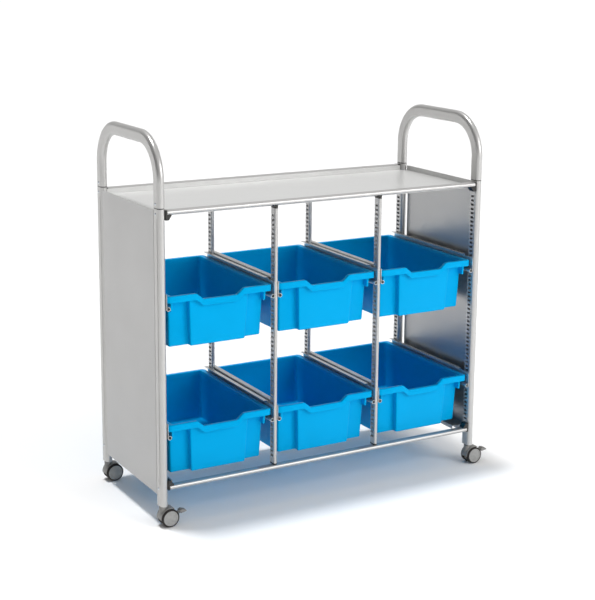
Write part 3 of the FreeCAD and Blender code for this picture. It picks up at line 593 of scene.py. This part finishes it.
def add_neck(bm, centre):
    """Boss round the stem, from the barrel up to the tube; where no height is given it meets the barrel."""
    chamfer, steps = 1, 48
    bore = STEM_RADIUS + BORE_GAP
    profile = ((bore, BOSS_TOP), (BOSS_RADIUS - chamfer, BOSS_TOP), (BOSS_RADIUS, BOSS_TOP - chamfer),
               (BOSS_RADIUS, None), (bore, None))
    rings = []
    for i in range(steps + 1):
        turn = 2 * math.pi * i / steps
        ring = []
        for radius, height in profile:
            x, y = radius * math.cos(turn) - TRAIL, radius * math.sin(turn)
            z = math.sqrt(HOOD_MIDDLE ** 2 - x ** 2) if height is None else height
            ring.append(centre + Vector((x, y, z)))
        rings.append(ring)
    skin(bm, rings)


def add_fork(bm, centre):
    """Disc between the wheels, open on the brake lever's side, and the web up to the barrel."""
    eye_gap, overlap = 0.3, 0.1
    web_reach, web_foot = 6, FORK_RADIUS / 2
    place = beside_axle(centre)
    opening = math.degrees(math.acos((LEVER_PIVOT - LEVER_EYE - eye_gap) / FORK_RADIUS))
    core = arc((0, 0), FORK_RADIUS, opening, 360 - opening, 60)
    prism(bm, core, place, -FORK_SLOT - overlap, FORK_SLOT + overlap)
    disc = circle(FORK_RADIUS, 72)
    for cheek in SIDES:
        near, far = sorted((cheek * FORK_SLOT, cheek * FORK_HALF))
        prism(bm, disc, place, near, far)
    web = [(-TRAIL, web_foot), (web_reach, web_foot), (web_reach, HOOD_MIDDLE - 1),
           (-TRAIL, math.sqrt(HOOD_MIDDLE ** 2 - TRAIL ** 2))]
    prism(bm, web, place, -FORK_HALF, FORK_HALF)


def make_hood(side, end):
    """Castor body: barrel hood, neck that meets the tube, and slotted fork."""
    name = f"{ENDS[end]}_{SIDES[side]}"
    centre = wheel_centre(side, end)
    bm = bmesh.new()
    add_barrel(bm, centre)
    add_neck(bm, centre)
    add_fork(bm, centre)
    replaced = [f"castor_hood_{name}"]
    add_piece(f"castor_body_{name}", bm, f"castor_{name}", "castor_plastic", replaced, bevel=0.4)


def tread_profile():
    """Section of one soft tread, rounded at both shoulders, from its inner bead to its outer one."""
    bead = HUB_RADIUS - 0.6
    shoulder = WHEEL_RADIUS - TREAD_ROUND
    inner = arc((shoulder, WHEEL_INNER + TREAD_ROUND), TREAD_ROUND, -90, 0, ARC_STEPS)
    outer = arc((shoulder, TREAD_HALF - TREAD_ROUND), TREAD_ROUND, 0, 90, ARC_STEPS)
    return [(bead, WHEEL_INNER)] + inner + outer + [(bead, TREAD_HALF)]


def hub_profile():
    """Section of one wheel centre: raised rim, dish and cap outside, blind bore for the axle inside."""
    edge, rim_width, slope = 0.8, 2.2, 1
    rim_dish, cap_dish, cap_bow = 1.1, 0.77, 0.3
    cap, middle = 4.5, 0.5
    bore, bore_floor = AXLE_RADIUS + BORE_GAP, CASTOR_HALF - 2
    inner_face = WHEEL_INNER + 0.3
    face = arc((HUB_RADIUS - edge, CASTOR_HALF - edge), edge, 0, 90, 3)
    face += [(HUB_RADIUS - rim_width, CASTOR_HALF), (HUB_RADIUS - rim_width - slope, CASTOR_HALF - rim_dish),
             (cap + slope, CASTOR_HALF - cap_dish), (cap, CASTOR_HALF - cap_bow), (middle, CASTOR_HALF)]
    return face + [(middle, bore_floor), (bore, bore_floor), (bore, inner_face), (HUB_RADIUS, inner_face)]


def make_wheels(side, end):
    """Twin wheels: treads and centres, each the same on both sides of the fork."""
    name = f"{ENDS[end]}_{SIDES[side]}"
    centre = wheel_centre(side, end)
    bm = bmesh.new()
    for profile in mirrored(tread_profile()):
        lathe(bm, profile, centre)
    add_piece(f"castor_treads_{name}", bm, f"wheels_{name}", "tyre_rubber", [f"castor_tyres_{name}"])
    bm = bmesh.new()
    for profile in mirrored(hub_profile()):
        lathe(bm, profile, centre)
    add_piece(f"castor_centres_{name}", bm, f"wheels_{name}", "hub_plastic", [f"castor_hubs_{name}"])


def add_grip_ribs(bm, place, start, end):
    """Low ribs across the pad, evenly spaced along its top from start to end."""
    count, foot, crest = 4, 0.8, 0.4
    sunk, rise, short = 1, 0.6, 1.5
    for i in range(count):
        spot = start.lerp(end, (i + 1) / (count + 1))
        rib = [(spot.x - foot, spot.y - sunk), (spot.x + foot, spot.y - sunk),
               (spot.x + crest, spot.y + rise), (spot.x - crest, spot.y + rise)]
        prism(bm, rib, place, short - PAD_HALF, PAD_HALF - short)


def make_brake(side):
    """Foot lever: eye and arm between the fork's cheeks, then a broad pad with grip ribs."""
    place = beside_axle(wheel_centre(side, FRONT))
    heel, tip = PAD_NEAR + PAD_SLANT, PAD_LOW + PAD_SLANT
    under = PAD_HIGH - PAD_THICK
    top_start = Vector((heel + PAD_SLANT, PAD_HIGH))
    top_end = Vector((PAD_FAR - PAD_SLANT, tip + PAD_THICK))
    bm = bmesh.new()
    arm = [(LEVER_PIVOT, -LEVER_EYE), (heel, PAD_LOW), (heel + PAD_THICK, under), (PAD_NEAR, under),
           (LEVER_PIVOT, LEVER_EYE)]
    eye = arc((LEVER_PIVOT, 0), LEVER_EYE, 90, 270, 12)
    prism(bm, arm + eye[1:-1], place, -LEVER_HALF, LEVER_HALF)
    pad = [(heel, PAD_LOW), (PAD_FAR, tip), tuple(top_end), tuple(top_start), (PAD_NEAR, under)]
    prism(bm, pad, place, -PAD_HALF, PAD_HALF)
    add_grip_ribs(bm, place, top_start, top_end)
    name = SIDES[side]
    replaced = [f"brake_lever_{name}"]
    add_piece(f"brake_pedal_{name}", bm, f"brake_{name}", "castor_plastic", replaced, bevel=0.5)


def make_stems():
    """Steel stems with a chamfered top and a snap-ring groove, up inside the end tubes."""
    high = box_mm("castor_stems")[1]
    foot, chamfer, core = 48.5, 1, 0.3
    groove_top, groove_foot = high.z - 8, high.z - 10
    neck = STEM_RADIUS - 0.8
    profile = [(core, foot), (STEM_RADIUS, foot), (STEM_RADIUS, groove_foot), (neck, groove_foot),
               (neck, groove_top), (STEM_RADIUS, groove_top), (STEM_RADIUS, high.z - chamfer),
               (STEM_RADIUS - chamfer, high.z), (core, high.z)]
    bm = bmesh.new()
    for side in SIDES:
        for end in ENDS:
            spot = Vector((side * (high.x - STEM_RADIUS), end * (high.y - STEM_RADIUS), 0))
            lathe(bm, profile, spot, "Z", 40)
    add_piece("castor_stem_pins", bm, "frame", "axle_steel", ["castor_stems"])


# ---------------------------------------------------------------- screws

def screw_profile():
    """Section of a domed head with a round socket, from its foot just inside the tube."""
    dome = SCREW_RADIUS ** 2 / (2 * SCREW_DOME) + SCREW_DOME / 2
    rise = dome - SCREW_DOME
    sweep = math.acos(rise / dome)
    steps = 6
    curve = []
    for i in range(steps, 1, -1):
        turn = sweep * i / steps
        curve.append((dome * math.sin(turn), dome * math.cos(turn) - rise))
    foot, core = -0.5, 0.1
    socket, socket_foot = 1.1, 0.88
    socket_floor, socket_middle = 0.5, 0.4
    bore = [(socket, curve[-1][1]), (socket_foot, socket_floor), (core, socket_middle), (core, foot)]
    return [(SCREW_RADIUS, foot)] + curve + bore


def make_screws():
    """Domed socket screws on the outer faces of the end tubes."""
    high = box_mm("frame_screws")[1]
    bm = bmesh.new()
    for side in SIDES:
        outward = [(radius, side * along) for radius, along in screw_profile()]
        for end in ENDS:
            for level in SCREW_LEVELS:
                spot = Vector((side * (high.x - SCREW_DOME), end * (high.y - SCREW_RADIUS), level))
                lathe(bm, outward, spot, "X", 36)
    add_piece("screw_heads", bm, "frame", "screw_zinc", ["frame_screws"])


# ---------------------------------------------------------------- stage, lights and camera

def make_floor():
    """Floor plane wide enough to fill the view behind the cart."""
    size = 160
    bpy.ops.mesh.primitive_plane_add(size=size, location=(0, 0, 0))
    floor = bpy.context.object
    floor.name = "studio_floor"
    floor.data.materials.append(studio_floor())


def area_light(name, place, target, size, power):
    """Rectangular soft light aimed at a point."""
    data = bpy.data.lights.new(name, "AREA")
    data.shape = "RECTANGLE"
    data.size, data.size_y = size
    data.energy = power
    light = bpy.data.objects.new(name, data)
    light.location = place
    light.rotation_euler = (Vector(target) - Vector(place)).to_track_quat("-Z", "Y").to_euler()
    bpy.context.scene.collection.objects.link(light)


def sun_light(name, direction, strength, angle):
    """Broad sun that keeps the whole floor evenly lit."""
    data = bpy.data.lights.new(name, "SUN")
    data.energy = strength
    data.angle = math.radians(angle)
    light = bpy.data.objects.new(name, data)
    light.rotation_euler = Vector(direction).to_track_quat("-Z", "Y").to_euler()
    bpy.context.scene.collection.objects.link(light)


def make_world():
    """White studio all round, dimmer to the cart's left so that curved metal shows its shape."""
    world = bpy.data.worlds.new("studio")
    world.use_nodes = True
    nodes, links = world.node_tree.nodes, world.node_tree.links
    direction = nodes.new("ShaderNodeSeparateXYZ")
    dimming = nodes.new("ShaderNodeMapRange")
    for socket, value in (("From Min", -0.95), ("From Max", -0.25), ("To Min", 0.0), ("To Max", 0.6)):
        dimming.inputs[socket].default_value = value
    links.new(nodes.new("ShaderNodeTexCoord").outputs["Generated"], direction.inputs["Vector"])
    links.new(direction.outputs["X"], dimming.inputs["Value"])
    nodes["Background"].inputs["Color"].default_value = (1, 1, 1, 1)
    links.new(dimming.outputs["Result"], nodes["Background"].inputs["Strength"])
    bpy.context.scene.world = world


def make_lights():
    """Even overhead sun, a soft light from the front right and the studio's own light."""
    make_world()
    sun_light("overhead", direction=(0.1, -0.12, -1), strength=2.0, angle=8)
    area_light("front_fill", place=(2.0, -4.0, 2.4), target=(0, 0, 0.45), size=(3.0, 2.4), power=100)
    bpy.context.scene.view_settings.view_transform = "Standard"


def make_camera():
    """Viewpoint in metres and degrees; the small shift frames the cart as a shop picture would."""
    data = bpy.data.cameras.new("viewpoint")
    data.sensor_width = 36
    data.lens = 83.97
    data.shift_y = -0.1
    camera = bpy.data.objects.new("viewpoint", data)
    camera.location = (-1.9431, -3.4140, 1.5072)
    pitch, yaw, roll = 11.621, 29.854, 0.483
    turn = (Matrix.Rotation(math.radians(-yaw), 3, "Z") @ Matrix.Rotation(math.radians(90 - pitch), 3, "X")
            @ Matrix.Rotation(math.radians(roll), 3, "Z"))
    camera.rotation_euler = turn.to_euler()
    bpy.context.scene.collection.objects.link(camera)
    bpy.context.scene.camera = camera


# ---------------------------------------------------------------- the cart

# Edge radius in millimetres for the CAD nodes whose names hold each word
EDGE_ROUNDS = {"connectors": 0.8, "caps": 0.5, "joiners": 0.4, "shelf": 0.35, "panel": 0.25}


def paint_cad_nodes():
    """Gives every CAD node the finish of its slot, and the flat-sided ones a small radius on their edges."""
    slots = {part["node"]: part["material_slot"] for part in frame["record"]["subparts"]}
    for name, node in frame["nodes"].items():
        node.data.materials.clear()
        node.data.materials.append(MATERIALS[slots[name]])
        for word, radius in EDGE_ROUNDS.items():
            if word in name:
                soften(node, radius)


def soften(node, radius):
    """Merges flat facets and rounds the sharp edges of a CAD node by a radius in millimetres."""
    flatten = node.modifiers.new("MergeFlats", "DECIMATE")
    flatten.decimate_type = "DISSOLVE"
    flatten.angle_limit = math.radians(0.5)
    round_edges(node, radius, segments=2, limit=math.radians(40))


paint_cad_nodes()
for row in ROWS:
    for column in COLUMNS:
        make_tray(row, column)
        for side in SIDES.values():
            make_runner(row, column, side)
for side, end in CORNERS:
    make_hood(side, end)
    make_wheels(side, end)
for side in SIDES:
    make_brake(side)
make_stems()
make_screws()
make_floor()
make_lights()
make_camera()
